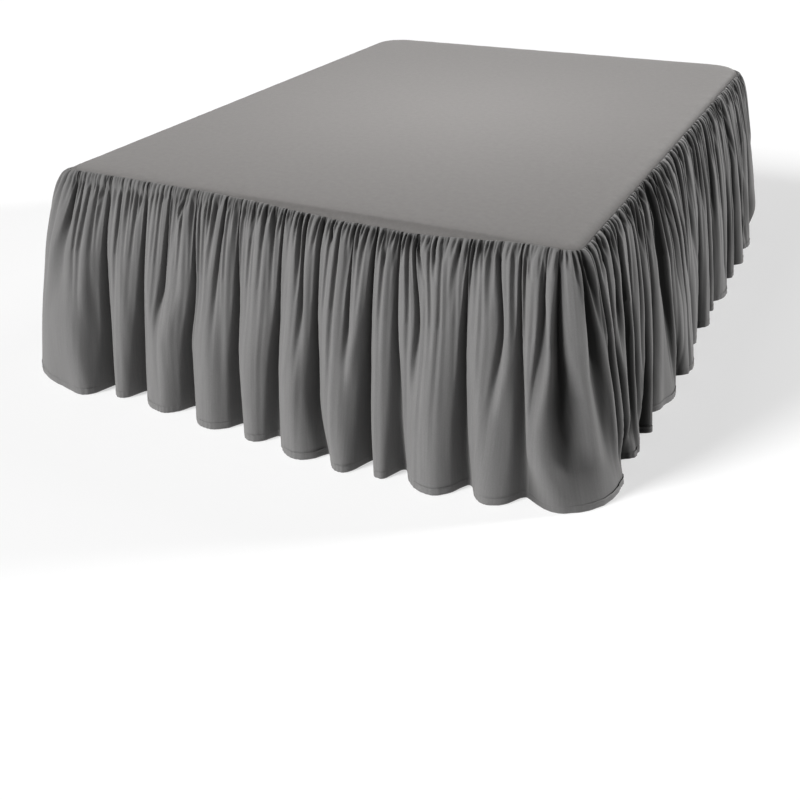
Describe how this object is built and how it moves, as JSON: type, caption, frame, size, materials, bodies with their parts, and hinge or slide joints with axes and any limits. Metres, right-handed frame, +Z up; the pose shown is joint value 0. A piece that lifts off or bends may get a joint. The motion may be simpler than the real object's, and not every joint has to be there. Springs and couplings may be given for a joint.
{
  "type": "gathered bed skirt on a plain bed base",
  "caption": "Gathered ruffle bed skirt with a smooth deck panel, fitted over a plain box spring on a steel bed frame; it hides the space under the bed",
  "frame": {"origin": "on the floor, under the middle of the whole object's box", "axes": "X runs across the bed, +X to the right of someone at its foot looking to its head; Y runs along the bed, +Y to the open head end and -Y to the foot end; +Z is up"},
  "size_m": [1.8347, 2.3242, 0.64],
  "materials": {
    "skirt_cloth": "brushed, matt",
    "ticking": "woven, matt",
    "frame_steel": "powder coated, satin",
    "glide_plastic": "moulded, matt"
  },
  "bodies": {
    "root": {"deck_panel": "skirt_cloth", "ruffle_foot": "skirt_cloth", "ruffle_left": "skirt_cloth", "ruffle_right": "skirt_cloth", "box_spring": "ticking", "side_rail_left": "frame_steel", "side_rail_right": "frame_steel", "cross_rail_foot": "frame_steel", "cross_rail_middle": "frame_steel", "cross_rail_head": "frame_steel", "leg_foot_left": "frame_steel", "leg_foot_right": "frame_steel", "leg_middle_left": "frame_steel", "leg_middle_right": "frame_steel", "leg_head_left": "frame_steel", "leg_head_right": "frame_steel", "glide_foot_left": "glide_plastic", "glide_foot_right": "glide_plastic", "glide_middle_left": "glide_plastic", "glide_middle_right": "glide_plastic", "glide_head_left": "glide_plastic", "glide_head_right": "glide_plastic"}
  },
  "joints": []
}
